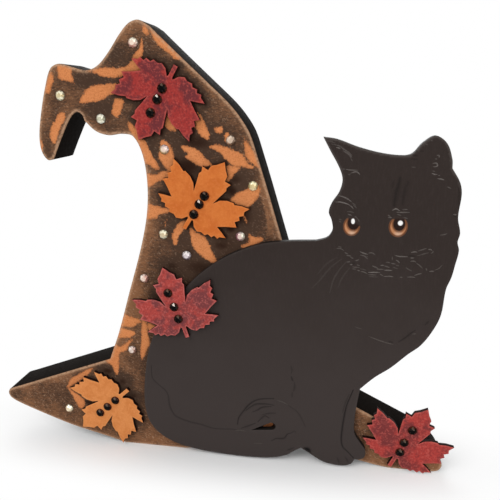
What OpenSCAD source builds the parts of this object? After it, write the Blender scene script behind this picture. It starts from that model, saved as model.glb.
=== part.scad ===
// Standing witch hat ornament: a cut-out board with a cat panel, maple leaves and flat-back stones.
// X runs to the right, Y away from the viewer and Z up. The board stands on the floor at z = 0.

/* [Hat board] */
// Width of the board from brim tip to brim tip
hat_w = 206; // [196:1:220]
// Height of the board from its feet to its peak
hat_h = 190; // [182:1:205]
// Thickness of the board
hat_t = 18; // [12:0.5:25]
// Length of the flat foot on the left
left_foot_l = 30; // [20:1:38]
// Length of the flat foot on the right
right_foot_l = 18; // [12:1:26]
// Rise of the arch between the feet
arch_h = 7.5; // [3:0.5:12]

/* [Cat panel] */
// Width of the panel
cat_w = 132; // [124:1:138]
// Height of the panel from paw to ear
cat_h = 145.6; // [136:0.2:150]
// Thickness of the panel
cat_t = 3; // [2:0.5:6]
// Height of the paws above the floor
cat_lift = 1; // [0.5:0.5:3]
// Length of the slot beside the tail
slot_l = 11.5; // [8:0.5:14]
// Width of the slot beside the tail
slot_w = 3.6; // [2.6:0.1:4.6]

/* [Maple leaves] */
// Width of a leaf across its side lobes
leaf_w = 37; // [32:0.5:40]
// Length of a leaf from its tip to the end of its stem
leaf_l = 33; // [29:0.5:36]
// Thickness of a leaf
leaf_t = 2; // [1.5:0.1:4]
// Gap between the leaf on the left brim and the cat
leaf_gap = 2; // [0.5:0.1:4]
// Gap between the leaf on the right brim and the cat's front leg
leg_gap = 1.8; // [0.2:0.1:3]
// Gap between the leaf on the left brim and the floor
brim_lift = 1.1; // [0.2:0.1:3]
// Gap between the leaf on the right brim and the floor
tip_lift = 0.3; // [0.2:0.1:3]

/* [Stones] */
// Diameter of a clear crystal
crystal_d = 4; // [3:0.1:5.4]
// Height of a clear crystal
crystal_h = 1.4; // [0.8:0.1:2.2]
// Diameter of a black stone
stone_d = 4; // [2:0.1:4.6]
// Height of a black stone
stone_h = 1.4; // [0.8:0.1:2.2]
// Least gap between two black stones on a leaf
stone_gap = 0.1; // [0.1:0.1:0.5]
// Height of the straight rim under the facets of a stone
rim_h = 0.4; // [0.2:0.1:0.6]

/* [Hidden] */
// Facets round a stone
facets = 8;
// Width of the flat table on top of a stone, as a share of its diameter
table_share = 0.45;
// Straight pieces in each span of a smooth outline
span_steps = 5;
// Straight pieces in the arch between the feet
arch_steps = 16;
// How the arch leaves the feet: 1 is a plain sine, higher is softer
arch_power = 1.3;

// Sizes at which the three outlines are drawn below, before they take the sizes above
hat_drawn = [206, 190];
cat_drawn = [132, 145.6];
leaf_drawn = [37, 33];

// Hat outline, drawn from the middle of the board's width and from the floor
under_left_brim = [
    [-44, 0], [-56, 3.2], [-70, 6.7], [-85, 11.9], [-98, 17], [-102, 19.4], [-103, 21.8], [-102, 24],
    [-98, 25.6]];
crown_left = [
    [-48.4, 44.2], [-43, 58], [-36.5, 78], [-30, 98], [-26.3, 113], [-25.2, 126], [-26.4, 138], [-30, 145.7],
    [-35, 146.8], [-40.5, 146.2], [-46, 147.8], [-50.6, 152]];
fold_inside = [
    [-50.6, 152], [-51.6, 154.6], [-54, 155.5], [-57, 152.8], [-61.5, 145], [-66, 136.2]];
fold_outside = [
    [-66, 136.2], [-68.8, 135.8], [-71.2, 139.5], [-71.5, 146], [-69.4, 156], [-66.4, 166], [-63.4, 172.8],
    [-59.5, 174.5], [-54, 173.2], [-48, 171.8], [-43, 173.6], [-38, 178.6], [-33, 185], [-29, 188.9],
    [-25, 190], [-20.5, 187.6]];
crown_right = [
    [-20.5, 187.6], [-10, 177.6], [2, 166.4], [10, 158.8], [14.8, 153], [18.4, 147], [21.5, 137.8], [26, 123],
    [31.3, 104.8], [38, 82], [44, 60], [49.5, 37]];
right_brim = [
    [91, 16], [98, 11], [102, 6.4], [103, 3.6], [101.6, 1], [98, 0]];

// Cat outline, drawn from its left side and its lowest paw
ear_left = [78.8, 145];
ears = [
    ear_left, [84, 144.2], [92, 141.3], [101, 139], [109, 138.2], [112.2, 139.1], [115.6, 143], [120, 145.6],
    [124.2, 142.8], [126.5, 137], [126.8, 133.7]];
cheek_and_chest = [
    [126.8, 133.7], [130, 128.5], [131, 124], [130.5, 115], [131.8, 109], [131.2, 105.4], [132, 102],
    [131.1, 96], [130.2, 91], [128.6, 86], [127.6, 75], [125, 68], [120.8, 61.2], [116, 56.8], [109.5, 50.2],
    [103, 45], [97.4, 39.2]];
legs = [
    [97.4, 39.2], [96.4, 32], [95.7, 24], [95.9, 17.4], [98.6, 12.7], [100.8, 9.4], [100.8, 5.6], [98.6, 4.1],
    [96.6, 4]];
paws = [
    [96.6, 4], [95.2, 1.6], [92.3, 0.3], [87.5, 0.2], [82, 1.5], [76, 5.2], [72.6, 7.2]];
haunch = [
    [72.6, 7.2], [70.2, 5.8], [66.5, 3], [60, 0.9], [50, 0], [38, 0.2], [24, 1.4], [14, 3.8], [6.5, 8],
    [2, 13.6], [0.2, 20.5], [0, 28], [1, 38], [3.6, 51], [9, 64], [17, 75.5], [27, 86.6], [36.5, 94],
    [46, 99], [56, 102.3], [66, 103.5], [77, 104]];
neck = [
    [77, 104], [81.5, 105.5], [83.4, 108.6], [82.9, 112.8], [81.7, 116], [83, 119.8], [85.5, 123.8],
    [86.6, 128.5], [85.4, 133], [81.5, 140], ear_left];
// Sharp end of the slot beside the tail, and the way the slot points from there
slot_at = [50, 14.2];
slot_angle = 17;
// Highest point of the cat's back
back_top = [66, 103.5];
// Left side of the cat, in the hat's drawing
cat_left = [-31.5, 0];

// One half of the maple leaf, from its tip to the end of its stem, drawn from its middle
half_leaf = [
    [0, 19], [2.2, 16.3], [3.9, 14.8], [4.1, 12.5], [6.9, 12.6], [6.1, 10.6], [6.6, 9.4], [5.7, 6], [4.7, 2],
    [6.4, 4.6], [9, 6.3], [11.8, 7], [12.4, 6.5], [15.2, 7.8], [18.5, 8.6], [17.4, 6.2], [18.1, 4.8],
    [16.6, 3.4], [17.7, 2.2], [16.3, 0.5], [18.2, -1], [14.6, -3.1], [11.3, -5.4], [14, -6.3], [16.8, -7.4],
    [14.4, -8.6], [14, -9.7], [12.2, -9.3], [11.6, -10.6], [9.6, -10.3], [8.8, -11.5], [6.8, -11.2],
    [5.2, -12], [3, -11], [1.4, -8.8], [0.9, -9.2], [0.9, -14]];

// Middles of the leaves that no neighbour places: two in the hat's drawing, one in the cat's
top_leaf_at = [-17.2, 160.8];
crown_leaf_at = [-1.8, 120];
back_leaf_at = [18.3, 72.5];
// Black stones on each leaf, in the leaf's drawing
top_stones = [[0.7, -3.8], [0.5, 0.9], [0.5, 6.9]];
crown_stones = [[0.4, -6.4], [0.1, -1.5], [0.2, 2.7]];
back_stones = [[-1, -4.8], [-1, 0.9], [-1.5, 7.6]];
brim_stones = [[0, -5.1], [0, 0.5], [0, 5.8]];
tip_stones = [[0.3, -5.3], [-0.6, -0.2], [-0.6, 6.9]];
// Clear crystal at the peak, and its share of the way from the leaf below it up to the peak
peak_crystal = [-27.4, 0];
peak_share = 0.386;
// Clear crystals above the cat's back and beside the cat, in the hat's drawing
upper_crystals = [[-60, 162.1], [-43.2, 152.8], [-16.9, 140.6], [10.8, 144.3], [19.6, 126.3], [-19.1, 105]];
lower_crystals = [[-28.9, 84.8], [-36.8, 49.8], [-71.4, 16.3]];
// Clear crystal on the cat's back, in the cat's drawing, and the one from the middle of the leaf above it
back_crystal = [22.2, 95];
crown_crystal = [15.9, -14.8];

// Smooth outlines: a curve that passes through its points and heads at each along its neighbours
function heading(a, b, c) = (c - a) / (norm(c - b) + norm(b - a));
function along(a, b, c, d, t) = let(
    run = norm(c - b),
    start = run * heading(a, b, c),
    end = run * heading(b, c, d))
    (2 * t ^ 3 - 3 * t ^ 2 + 1) * b + (t ^ 3 - 2 * t ^ 2 + t) * start
    + (3 * t ^ 2 - 2 * t ^ 3) * c + (t ^ 3 - t ^ 2) * end;
function smooth(p) = [
    for (i = [0 : len(p) - 2], k = [0 : span_steps - 1])
        along(p[max(i - 1, 0)], p[i], p[i + 1], p[min(i + 2, len(p) - 1)], k / span_steps)];

// Places and sizes on the drawings, at their real size
function sized(p, size, drawn) = [p[0] * size[0] / drawn[0], p[1] * size[1] / drawn[1]];
function on_hat(p) = sized(p, [hat_w, hat_h], hat_drawn);
function on_cat(p) = cat_at + sized(p, [cat_w, cat_h], cat_drawn);
function on_leaf(p) = sized(p, [leaf_w, leaf_l], leaf_drawn);
function turned(p, a) = [p[0] * cos(a) + p[1] * sin(a), p[1] * cos(a) - p[0] * sin(a)];
cat_at = on_hat(cat_left) + [0, cat_lift];

// Places above the cat's back share out the room up to the peak, which starts half a crystal above the back
room_start = on_cat(back_top)[1] + crystal_d / 2;
room_drawn = cat_lift + back_top[1] + crystal_d / 2;
function above_back(p) = [
    on_hat(p)[0],
    room_start + (p[1] - room_drawn) * (hat_h - room_start) / (hat_drawn[1] - room_drawn)];

function last(p) = p[len(p) - 1];

// The hat's outline, with its feet and arch
left_heel = on_hat(under_left_brim[0]);
right_heel = on_hat(last(right_brim));
arch_right = right_heel[0] - right_foot_l;
arch_left = left_heel[0] + left_foot_l;
arch = [
    for (k = [0 : arch_steps])
        let(t = k / arch_steps)
        [arch_right + t * (arch_left - arch_right), arch_h * sin(180 * t) ^ arch_power]];
silhouette = concat(
    smooth(under_left_brim), [last(under_left_brim)], smooth(crown_left), smooth(fold_inside),
    smooth(fold_outside), smooth(crown_right), [last(crown_right)], smooth(right_brim));
hat_outline = concat([for (p = silhouette) on_hat(p)], [right_heel], arch);

// The cat's outline
cat_runs = concat(
    smooth(ears), smooth(cheek_and_chest), smooth(legs), smooth(paws), smooth(haunch), smooth(neck));
cat_outline = [for (p = cat_runs) on_cat(p)];

// The leaf's outline, and how far it reaches from its middle when turned
leaf_half = [for (p = half_leaf) on_leaf(p)];
leaf_outline = concat(leaf_half, [
    for (i = [len(leaf_half) - 1 : -1 : 1]) [-leaf_half[i][0], leaf_half[i][1]]]);
function reach_right(a) = max([for (p = leaf_outline) turned(p, a)[0]]);
function reach_down(a) = -min([for (p = leaf_outline) turned(p, a)[1]]);
function reach_up(a) = max([for (p = leaf_outline) turned(p, a)[1]]);

// Where the middle of a turned leaf has to be for the leaf to touch the right side of the front leg
leg_side = [for (p = legs) let(q = on_cat(p)) [q[1], q[0]]];
function beside_leg(a, z) = max([
    for (p = leaf_outline) let(q = turned(p, a)) lookup(z + q[1], leg_side) - q[0]]);

// Leaves: name, turn, middle, height of the seat above the hat's face, colour, stones
top_angle = -149;
crown_angle = 33;
back_angle = -17;
brim_angle = -132;
tip_angle = 26;
tip_z = tip_lift + reach_down(tip_angle);
orange = "#d98a3a";
red = "#a8423f";
leaves = [
    ["leaf_top", top_angle, above_back(top_leaf_at), 0, red, top_stones],
    ["leaf_crown", crown_angle, above_back(crown_leaf_at), 0, orange, crown_stones],
    ["leaf_back", back_angle, on_cat(back_leaf_at), cat_t, red, back_stones],
    ["leaf_brim", brim_angle,
        [cat_at[0] - leaf_gap - reach_right(brim_angle), brim_lift + reach_down(brim_angle)],
        0, orange, brim_stones],
    ["leaf_tip", tip_angle, [beside_leg(tip_angle, tip_z) + leg_gap, tip_z], 0, red, tip_stones]];

// Where a leaf's stones lie: the outer two keep clear of the middle one
function stone_places(row) = [
    for (p = row)
        let(middle = on_leaf(row[1]), off = on_leaf(p) - middle)
        norm(off) == 0 ? middle : middle + off * max(1, (stone_d + stone_gap) / norm(off))];

// Black stones: the leaf each lies on and its place on the leaf
stones = [for (leaf = leaves, place = stone_places(leaf[5])) [leaf, place]];

// Crystals: the one at the peak, those above the cat, those beside it and the two along its back
leaf_peak = leaves[0][2][1] + reach_up(top_angle);
crystals = concat(
    [[on_hat(peak_crystal)[0], leaf_peak + peak_share * (hat_h - leaf_peak)]],
    [for (p = upper_crystals) above_back(p)],
    [for (p = lower_crystals) on_hat(p)],
    [on_cat(back_crystal), leaves[1][2] + crown_crystal]);

// The part is centred across its width and depth
tip_leaf = leaves[4];
left_end = -hat_w / 2;
right_end = max(hat_w / 2, tip_leaf[2][0] + reach_right(tip_angle));
mid_x = (left_end + right_end) / 2;
front_stack = max(cat_t + leaf_t + stone_h, crystal_h);
face_y = (hat_t + front_stack) / 2 - hat_t;

function two_digits(i) = i < 9 ? str("0", i + 1) : str(i + 1);
function stone_name(i) = str("black_stone_", two_digits(i));
function crystal_name(i) = str("crystal_", two_digits(i));

// Stands a flat shape up, with its back at the given height above the hat's face
module standing(level) {
    translate([-mid_x, face_y - level, 0])
        rotate([90, 0, 0])
            children();
}

module hat_board() {
    color("#4a3c33")
        standing(-hat_t)
            linear_extrude(hat_t)
                polygon(hat_outline);
}

// A slot with one sharp and one round end
module tail_slot() {
    r = slot_w / 2;
    centre = slot_l - r;
    lean = asin(r / centre);
    polygon(concat([[0, 0]], [
        for (k = [-span_steps : span_steps])
            let(a = k / span_steps * (90 + lean))
            [centre + r * cos(a), r * sin(a)]]));
}

module cat_panel() {
    color("#33302f")
        standing(0)
            linear_extrude(cat_t)
                difference() {
                    polygon(cat_outline);
                    translate(on_cat(slot_at))
                        rotate(slot_angle)
                            tail_slot();
                }
}

module maple_leaf(leaf) {
    color(leaf[4])
        standing(leaf[3])
            translate(leaf[2])
                rotate(-leaf[1])
                    linear_extrude(leaf_t)
                        polygon(leaf_outline);
}

// A flat-back stone: a straight rim, a ring of main facets and a ring of star facets round the table
module faceted_stone(d, h) {
    crown_h = h - rim_h;
    cylinder(d = d, h = rim_h, $fn = facets);
    translate([0, 0, rim_h])
        intersection() {
            cylinder(d1 = d, d2 = d * table_share, h = crown_h, $fn = facets);
            rotate(180 / facets)
                cylinder(d1 = d * (2 - table_share), d2 = d * table_share, h = crown_h, $fn = facets);
        }
}

module black_stone(stone) {
    leaf = stone[0];
    color("#1b1a1c")
        standing(leaf[3] + leaf_t)
            translate(leaf[2])
                rotate(-leaf[1])
                    translate(stone[1])
                        faceted_stone(stone_d, stone_h);
}

module crystal(place) {
    color("#dfe6ee")
        standing(0)
            translate(place)
                faceted_stone(crystal_d, crystal_h);
}

hat_board();
cat_panel();
for (leaf = leaves)
    maple_leaf(leaf);
for (i = [0 : len(stones) - 1])
    black_stone(stones[i]);
for (i = [0 : len(crystals) - 1])
    crystal(crystals[i]);
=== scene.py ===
import math

import bpy
import numpy as np
from mathutils import Matrix, Vector
from mathutils.geometry import delaunay_2d_cdt
from mathutils.kdtree import KDTree


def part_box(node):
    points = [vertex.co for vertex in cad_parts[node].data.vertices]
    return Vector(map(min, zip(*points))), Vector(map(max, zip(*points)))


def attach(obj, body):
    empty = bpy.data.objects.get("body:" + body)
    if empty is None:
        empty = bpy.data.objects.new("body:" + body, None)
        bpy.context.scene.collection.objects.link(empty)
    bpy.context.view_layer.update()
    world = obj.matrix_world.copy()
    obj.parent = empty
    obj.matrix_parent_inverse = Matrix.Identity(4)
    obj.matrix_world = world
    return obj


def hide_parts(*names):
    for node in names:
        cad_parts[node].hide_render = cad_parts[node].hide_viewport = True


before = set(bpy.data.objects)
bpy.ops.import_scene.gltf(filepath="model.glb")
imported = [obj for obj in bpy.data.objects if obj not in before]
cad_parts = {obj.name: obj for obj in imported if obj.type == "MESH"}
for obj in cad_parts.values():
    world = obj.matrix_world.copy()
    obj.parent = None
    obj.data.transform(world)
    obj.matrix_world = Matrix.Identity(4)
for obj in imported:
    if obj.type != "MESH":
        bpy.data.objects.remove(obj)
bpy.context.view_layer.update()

scene = bpy.context.scene

# Frame. Places on the hat are drawn in millimetres from the middle of the board's width and from the floor.
MM = 0.001
HAT_HALF_WIDTH = 103
MID_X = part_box("hat_board")[0].x + HAT_HALF_WIDTH * MM
CAT_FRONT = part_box("cat_panel")[0].y

# Camera: seen from a little above and to the right
LENS, SENSOR = 38.88, 36
CAMERA_AT = (MID_X + 0.054, -0.2198, 0.1606)
CAMERA_RIGHT = (0.9866, 0.1631, -0.0082)
CAMERA_UP = (-0.0364, 0.269, 0.9624)

# Lamps: place, size and power. The sky is dimmer as a light than where it is seen.
LAMPS = {
    "key": ((-0.55, -0.9, 0.95), 0.8, 9),
    "fill": ((0.8, -0.75, 0.5), 0.8, 4.2),
    "back": ((-0.3, 0.95, 0.8), 1, 7)}
LAMP_AIM = (0, 0, 0.09)
SKY_LIGHT = 0.4

# Floor. It turns white a little way from the object, so that only the shadow beside it shows.
FLOOR_HALF = 4
FLOOR_PAINT, FLOOR_PALE = (250, 250, 250), (253, 253, 253)
FLOOR_SQUEEZE = (0.2, 1, 1)
FLOOR_RAMPS = {"fade": (0.008, 0.04)}

# Eased edges and mesh spacing, in millimetres
HAT_EASE, HAT_STEP = 0.6, 0.7
CAT_EASE, CAT_STEP = 0.3, 0.7
LEAF_EASE, LEAF_STEP = 0.2, 0.6
RIM_STEP, BLADE_STEP = 0.15, 0.2

# Meshes: rows in an eased edge, angle of a sharp edge, and clearances as shares of the mesh spacing
EASE_TURNS = 4
SHARP = math.radians(38)
RIM_CLEAR, LINE_CLEAR, LINE_RIM_CLEAR = 0.6, 0.5, 0.2
INSET_LEAST, INSET_CLEAR = 0.5, 0.9
ON_FRONT, SAME_PLACE, NO_LENGTH, PLACE_DIGITS = 1e-6, 1e-9, 1e-12, 7
TRIANGLES_INSIDE = 1

# Stones: radius in millimetres, number of kite facets, and shares of the radius, the height and the light,
# the last a painted shade on the girdle facets
STONE_R = 2
STONE_KITES = 8
RIM_SHARE = 0.22
TABLE_SHARE = 0.5
KITE_SHARE, KITE_RISE = 0.74, 0.62
GIRDLE_SHADE = 0.72
TABLE_FACETS, GIRDLE_FACETS = 0.2, 0.8

# Crystals: coating tint under a painted highlight and under painted shade, and the side of the painted
# highlight in degrees, or None for top and bottom
CRYSTAL_TINTS_AND_LIGHT = [
    ((255, 252, 232), (210, 152, 136), 80), ((255, 250, 220), (170, 144, 92), None),
    ((255, 255, 236), (150, 144, 116), None), ((255, 232, 232), (196, 168, 118), 50),
    ((255, 234, 212), (112, 84, 64), 130), ((255, 246, 200), (172, 140, 84), None),
    ((255, 250, 222), (166, 136, 98), None), ((255, 246, 232), (190, 132, 116), 170),
    ((255, 248, 240), (150, 110, 96), 170), ((255, 250, 224), (196, 158, 116), 50),
    ((255, 250, 252), (140, 120, 128), 90), ((255, 252, 232), (164, 104, 114), 20)]
EVEN_TABLE, EVEN_LEAST, EVEN_GAIN = 0.5, 0.2, 1.1
SIDED_TABLE = 0.65

# Black stones: jet and its painted sheen, rim reflection and glint, side of the glint in degrees, and the
# stones where it is brightest
JET = (8, 7, 6)
JET_SHEEN = (38, 32, 28)
JET_RIM_REFLECTION = (74, 32, 18)
JET_GLINT = (232, 220, 208)
JET_DULL_GLINT = (96, 80, 68)
GLINT_SIDE, GLINT_REACH = 80, 0.97
GLINTING = (2, 5, 8)
SHEEN_WAVES, SHEEN_ABOVE = 5, 0.4

# Paint colours, as seen on a screen
BOARD_DARK = (68, 51, 41)
# Near black, for the deepest stain and painted shadow
BOARD_DEEP_STAIN_AND_SHADOW = (42, 26, 19)
BOARD_BROWN = (135, 94, 66)
BOARD_RUBBED = (184, 146, 116)
BOARD_FLECK = (176, 146, 122)
STENCIL = (207, 133, 83)
STENCIL_DEEP = (176, 104, 60)
STENCIL_RIM = (138, 84, 54)
BOARD_SIDE = (14, 11, 9)
BOARD_SIDE_PALE = (24, 19, 16)
BOARD_BACK = (26, 23, 21)
BOARD_BACK_PALE = (42, 38, 35)
# The cat's paint, with painted light: lighter low down and darker higher up
CAT_LIT_LOW = (58, 51, 49)
CAT_SHADED_HIGH = (46, 38, 35)
CAT_BRUSH = (66, 57, 54)
CAT_PALE = (100, 94, 90)
CAT_CUT = (10, 8, 8)
CAT_SIDE = (22, 20, 19)
CAT_SIDE_PALE = (36, 33, 31)
LEAF_SIDE = (20, 12, 11)
LEAF_SIDE_PALE = (40, 22, 18)
IRIS = (186, 128, 88)
# A painted highlight low on the iris
IRIS_HIGHLIGHT = (204, 164, 136)
IRIS_RIM = (72, 34, 16)
PUPIL = (30, 17, 13)
GLINT = (244, 242, 240)

# Leaves: slot, paint, its shade, its light flecks, and how mottled it is
LEAVES = {
    "leaf_top": ("red", (149, 50, 46), (102, 44, 47), (174, 78, 70), 1),
    "leaf_crown": ("orange", (198, 111, 52), (188, 99, 43), (212, 132, 76), 0.4),
    "leaf_back": ("red", (162, 64, 58), (112, 56, 57), (186, 98, 92), 1),
    "leaf_brim": ("orange", (208, 133, 76), (197, 120, 64), (224, 152, 98), 0.4),
    "leaf_tip": ("red", (166, 60, 55), (114, 50, 50), (184, 90, 82), 1)}

# Darker spots on the red leaves, brighter below 0: middle, reach across, reach up and strength
LEAF_SHADES = [
    (-20, 173, 5, 3, 1), (-4, 163, 4, 3, 1), (-18, 153, 3, 5, 0.8), (-16, 167, 3, 3, 0.6),
    (-25, 154, 4, 5, -1), (-8, 152, 4.5, 4, -1), (-31, 166, 5, 3, 0.4), (-12, 166, 3, 2.5, -0.6),
    (-17, 83, 3, 5, -0.8), (-12.5, 79, 2.5, 3, -1), (-27, 72, 5, 4, -0.8), (-3, 79, 4, 6, 0.8),
    (-22, 64, 5, 3, 0.4), (-22, 75, 3, 2, 0.6), (-9, 69, 4, 4, 0.4), (97, 11, 6, 5, -1), (91, 27, 3, 4, -0.7),
    (73, 11, 5, 3, -0.6), (76, 22, 3, 5, 0.8), (88.5, 21.5, 3, 3, 1), (79, 19, 3, 4, 0.7),
    (86, 4, 4, 2.5, 0.6), (84, 8, 2.5, 3, 0.6)]

# Outlines of the stencilled blades on the board
BLADES = [
    [(-59.8, 174), (-56, 173.6), (-53.8, 172.6), (-54, 170), (-53.2, 166.8), (-56.8, 167.6), (-59.8, 168.6),
     (-60.3, 171)],
    [(-63.4, 171.6), (-62, 169), (-63.2, 166), (-64.6, 163), (-67, 163.4), (-65.6, 167.6)],
    [(-71.6, 145), (-70, 143.4), (-70, 140.2), (-71.6, 139)],
    [(-61.6, 155), (-59.2, 155.7), (-58.6, 153.2), (-60.6, 150), (-62.8, 145.8), (-64.4, 142.6),
     (-66.2, 143.6), (-66.6, 146.4), (-65.2, 150.4), (-63.2, 152.7)],
    [(-48.2, 171.3), (-44, 172.4), (-39.6, 172.9), (-35, 172.6), (-31.8, 172.9), (-28, 174), (-28, 169.6),
     (-32, 169.4), (-35.2, 168.7), (-39.6, 168.7), (-43.8, 170.2)],
    [(-23.6, 184), (-24.9, 180.2), (-26.8, 178), (-28.6, 175.4), (-30, 173.4), (-28, 171), (-24.2, 172),
     (-23.8, 176), (-23.2, 180)],
    [(-51.9, 160), (-50.7, 162), (-48, 164.8), (-44.6, 166.3), (-40.6, 166.5), (-34, 166.4), (-32, 163),
     (-38.4, 162), (-41.2, 160.6), (-44, 159.5), (-48, 159.2), (-51.6, 158.9)],
    [(-36.4, 161), (-32.6, 160), (-33.2, 157.6), (-34.8, 154.4), (-36.4, 153.2), (-38.6, 155), (-37.7, 158)],
    [(-20.4, 186.6), (-15.7, 183.4), (-11, 179), (-8, 175.8), (-10.4, 174.8), (-13, 177), (-16.2, 179.4),
     (-18.6, 181.6), (-19.7, 184)],
    [(-22.8, 188.4), (-21, 187), (-20.8, 184.6), (-22.4, 184.3), (-23.3, 186)],
    [(-32, 151.8), (-29.4, 150.4), (-26.6, 147), (-26.6, 143.6), (-28.8, 143.6), (-31, 147.2)],
    [(-29, 146), (-26, 145), (-24.6, 143.8), (-22, 138.4), (-19.8, 134.4), (-19.3, 132.7), (-21, 132.3),
     (-24, 134.2), (-26.6, 135), (-27.4, 140)],
    [(-18.4, 144.2), (-16, 144), (-13.6, 141.4), (-12.8, 138), (-11, 133), (-15, 131), (-18.2, 135.2),
     (-19.9, 137), (-19, 140.4)],
    [(-26.2, 131), (-21.4, 130.5), (-17.4, 132), (-14, 131.4), (-14, 128.6), (-18.4, 128), (-21.2, 126.8),
     (-23, 125.5), (-26.2, 125.1)],
    [(-27.2, 118.3), (-23, 117.6), (-19, 116.8), (-14, 116), (-16.2, 114.6), (-20.4, 113.2), (-22.2, 111.8),
     (-27.8, 111.5)],
    [(-16.9, 112), (-17.6, 111.8), (-18.7, 108.4), (-18.3, 107.8), (-17.6, 109.6)],
    [(-9.9, 142.4), (-7.2, 142.2), (-3, 140.8), (-0.6, 138.4), (1.6, 136.2), (3.1, 134.5), (-0.6, 133.6),
     (-3.6, 134.3), (-5.8, 135.7), (-8.3, 137.6), (-7.4, 139), (-8.8, 140)],
    [(1.7, 141.7), (4.4, 143), (7.8, 142.3), (12, 140.8), (15.4, 139.2), (17.7, 135.6), (20, 134.2),
     (19.2, 133.1), (16, 133.7), (11.6, 134.1), (8.2, 136.8), (5.6, 139.6)],
    [(16.1, 145.3), (18.2, 142.8), (20.6, 139.6), (21.6, 136.6), (23, 132.6), (19.6, 135), (17.6, 136.6),
     (16.4, 139.4)],
    [(7, 134), (13.4, 134.1), (14.3, 132.8), (12.2, 130.8), (10.2, 128.2), (7.6, 128)],
    [(20.8, 127), (22.7, 125.6), (22.1, 122.4), (19.9, 119.4), (17, 117), (13, 117.4), (8.6, 117.6),
     (9.4, 120.3), (13.2, 123.5), (16, 124.7)],
    [(-7.6, 111.6), (-12, 110.3), (-14.6, 106.9), (-15.6, 104), (-14.8, 100.3), (-13.3, 100.5),
     (-12.5, 103.4), (-10.1, 107), (-7.6, 109.2)],
    [(-7.3, 108.6), (-5, 106.5), (-1.8, 105), (0.6, 102), (1.9, 98.8), (3.6, 95), (4.5, 92.5), (2.6, 92.7),
     (-0.8, 94.3), (-4.4, 97.1), (-6.9, 100.6), (-7.5, 104.4)],
    [(17.2, 106.7), (19.4, 105.4), (22.8, 105.3), (24, 103.6), (21, 102.1), (17.8, 99.9), (16, 99.5),
     (14.1, 101.2), (17.5, 103)],
    [(15.2, 113.6), (16.2, 113.8), (17.2, 111.4), (16.4, 110.8)],
    [(4.3, 149.4), (7.6, 149.7), (7.5, 147.4), (6, 146.7), (4.3, 148)],
    [(-6, 156), (-2, 155), (0.6, 151), (2.3, 146.8), (1.7, 144.5), (-1.2, 145.9), (-3.4, 148.4), (-5, 152)],
    [(8.2, 147.2), (10.2, 147.4), (10, 144), (8.4, 143.8)],
    [(-15.8, 155), (-13, 152), (-11.4, 147.8), (-14.6, 148.3), (-16.2, 150)],
    [(-40.4, 68.2), (-38, 66.9), (-35, 66), (-31.7, 64.8), (-33.4, 62.8), (-36, 61), (-39, 61),
     (-42.6, 61.4)],
    [(-43, 60.7), (-38, 59.8), (-35.3, 59.2), (-34.9, 57.8), (-37, 56), (-40, 55.4), (-44.6, 55.6)],
    [(-46, 52.5), (-43, 51.2), (-40, 53), (-37.6, 55), (-35.7, 55.9), (-37.9, 52.8), (-40, 49.2), (-43, 47.4),
     (-43.7, 44), (-44.3, 38), (-46, 36.2), (-48, 41), (-51, 43.2), (-48.4, 45)],
    [(-31.5, 64.6), (-29.2, 63.5), (-28.9, 58.6), (-28.1, 53.6), (-30, 49.6), (-32.6, 44.5), (-33.3, 48),
     (-32.6, 55.4), (-32.1, 60.4)],
    [(-28.6, 63.6), (-25, 62.4), (-26, 60), (-28, 59.3), (-29, 61)],
    [(-71.6, 27.2), (-69.2, 32.4), (-64.4, 35.6), (-60, 38.2), (-57.4, 38.6), (-61, 34), (-66, 30.4)],
    [(-71, 27.6), (-69.8, 24), (-67.2, 18.4), (-65.4, 16.4), (-63.4, 18), (-63.6, 22)],
    [(23.4, 15.6), (24.6, 17.8), (26.4, 18.8), (28, 18), (27.6, 16), (26, 14.6), (24.2, 14.4)]]

# Dark stain and painted shadow on the board, the shadow beside the leaves and in the tail slot, paler below
# 0: middle, reach across, reach up and strength
STAINS_AND_SHADOWS = [
    (-3, 143.5, 13, 6, 1.35), (-7, 134, 10, 7, 1.45), (12, 129, 6.5, 4.5, 1.3), (16, 113, 7, 8, 1.25),
    (8, 102, 12, 8, 1.15), (-4, 91, 13, 7, 1.3), (-12, 105, 6, 8, 1.05), (-46, 168, 10, 3, 1),
    (-43, 157, 8, 4, 0.9), (-36, 178, 5, 4, 0.8), (-23, 141, 3, 5, 1), (-50, 38, 5, 3, 1.4),
    (-43, 33, 4, 4, 1.3), (-23, 76.5, 3.5, 3, 1.2), (-33, 74, 5, 14, -0.5), (-27, 108, 5, 12, -0.3),
    (-37, 58, 6, 8, -0.8), (74, 8, 7, 9, -0.5), (98, 5, 6, 6, -0.9), (70, 22, 5, 5, -0.3),
    (-25, 186, 8, 4, -0.4), (25, 120, 3, 14, -0.3), (-76, 32, 16, 3, -0.3), (-66, 151, 3, 4, -0.15),
    (-68, 139, 4, 4, 0.35), (-97, 22, 6, 3, 0.15), (-39, 149, 6, 3, 0.3), (26, 16, 6, 5, 1.6),
    (-86, 20, 6, 5, -0.5), (-24, 121, 3, 5, 0.15), (-38, 41, 5, 5, -0.3), (-31, 6, 8, 5, -0.5),
    (-38, 26, 4, 3, 1.3), (-36.5, 18, 2.5, 6, 1.2), (-40, 9, 2.5, 3, 1), (-61, 20.5, 4, 1.2, 1.5),
    (-62, 33, 5, 2, 1), (10, 108, 4, 3, 1.4), (11, 124, 4, 4, 1.45), (6, 101, 7, 4, 1.35),
    (-8, 97, 4, 5, 1.25), (-16, 91, 6, 4, 1.25)]

# Leaves with dark stain and painted shadow round them, its reach in millimetres and its strength
LEAVES_STAINED_AND_SHADOWED = ("leaf_top", "leaf_crown")
LEAF_STAIN_AND_SHADOW, LEAF_STAIN_AND_SHADOW_DEPTH = 1.7, 1.35

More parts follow.
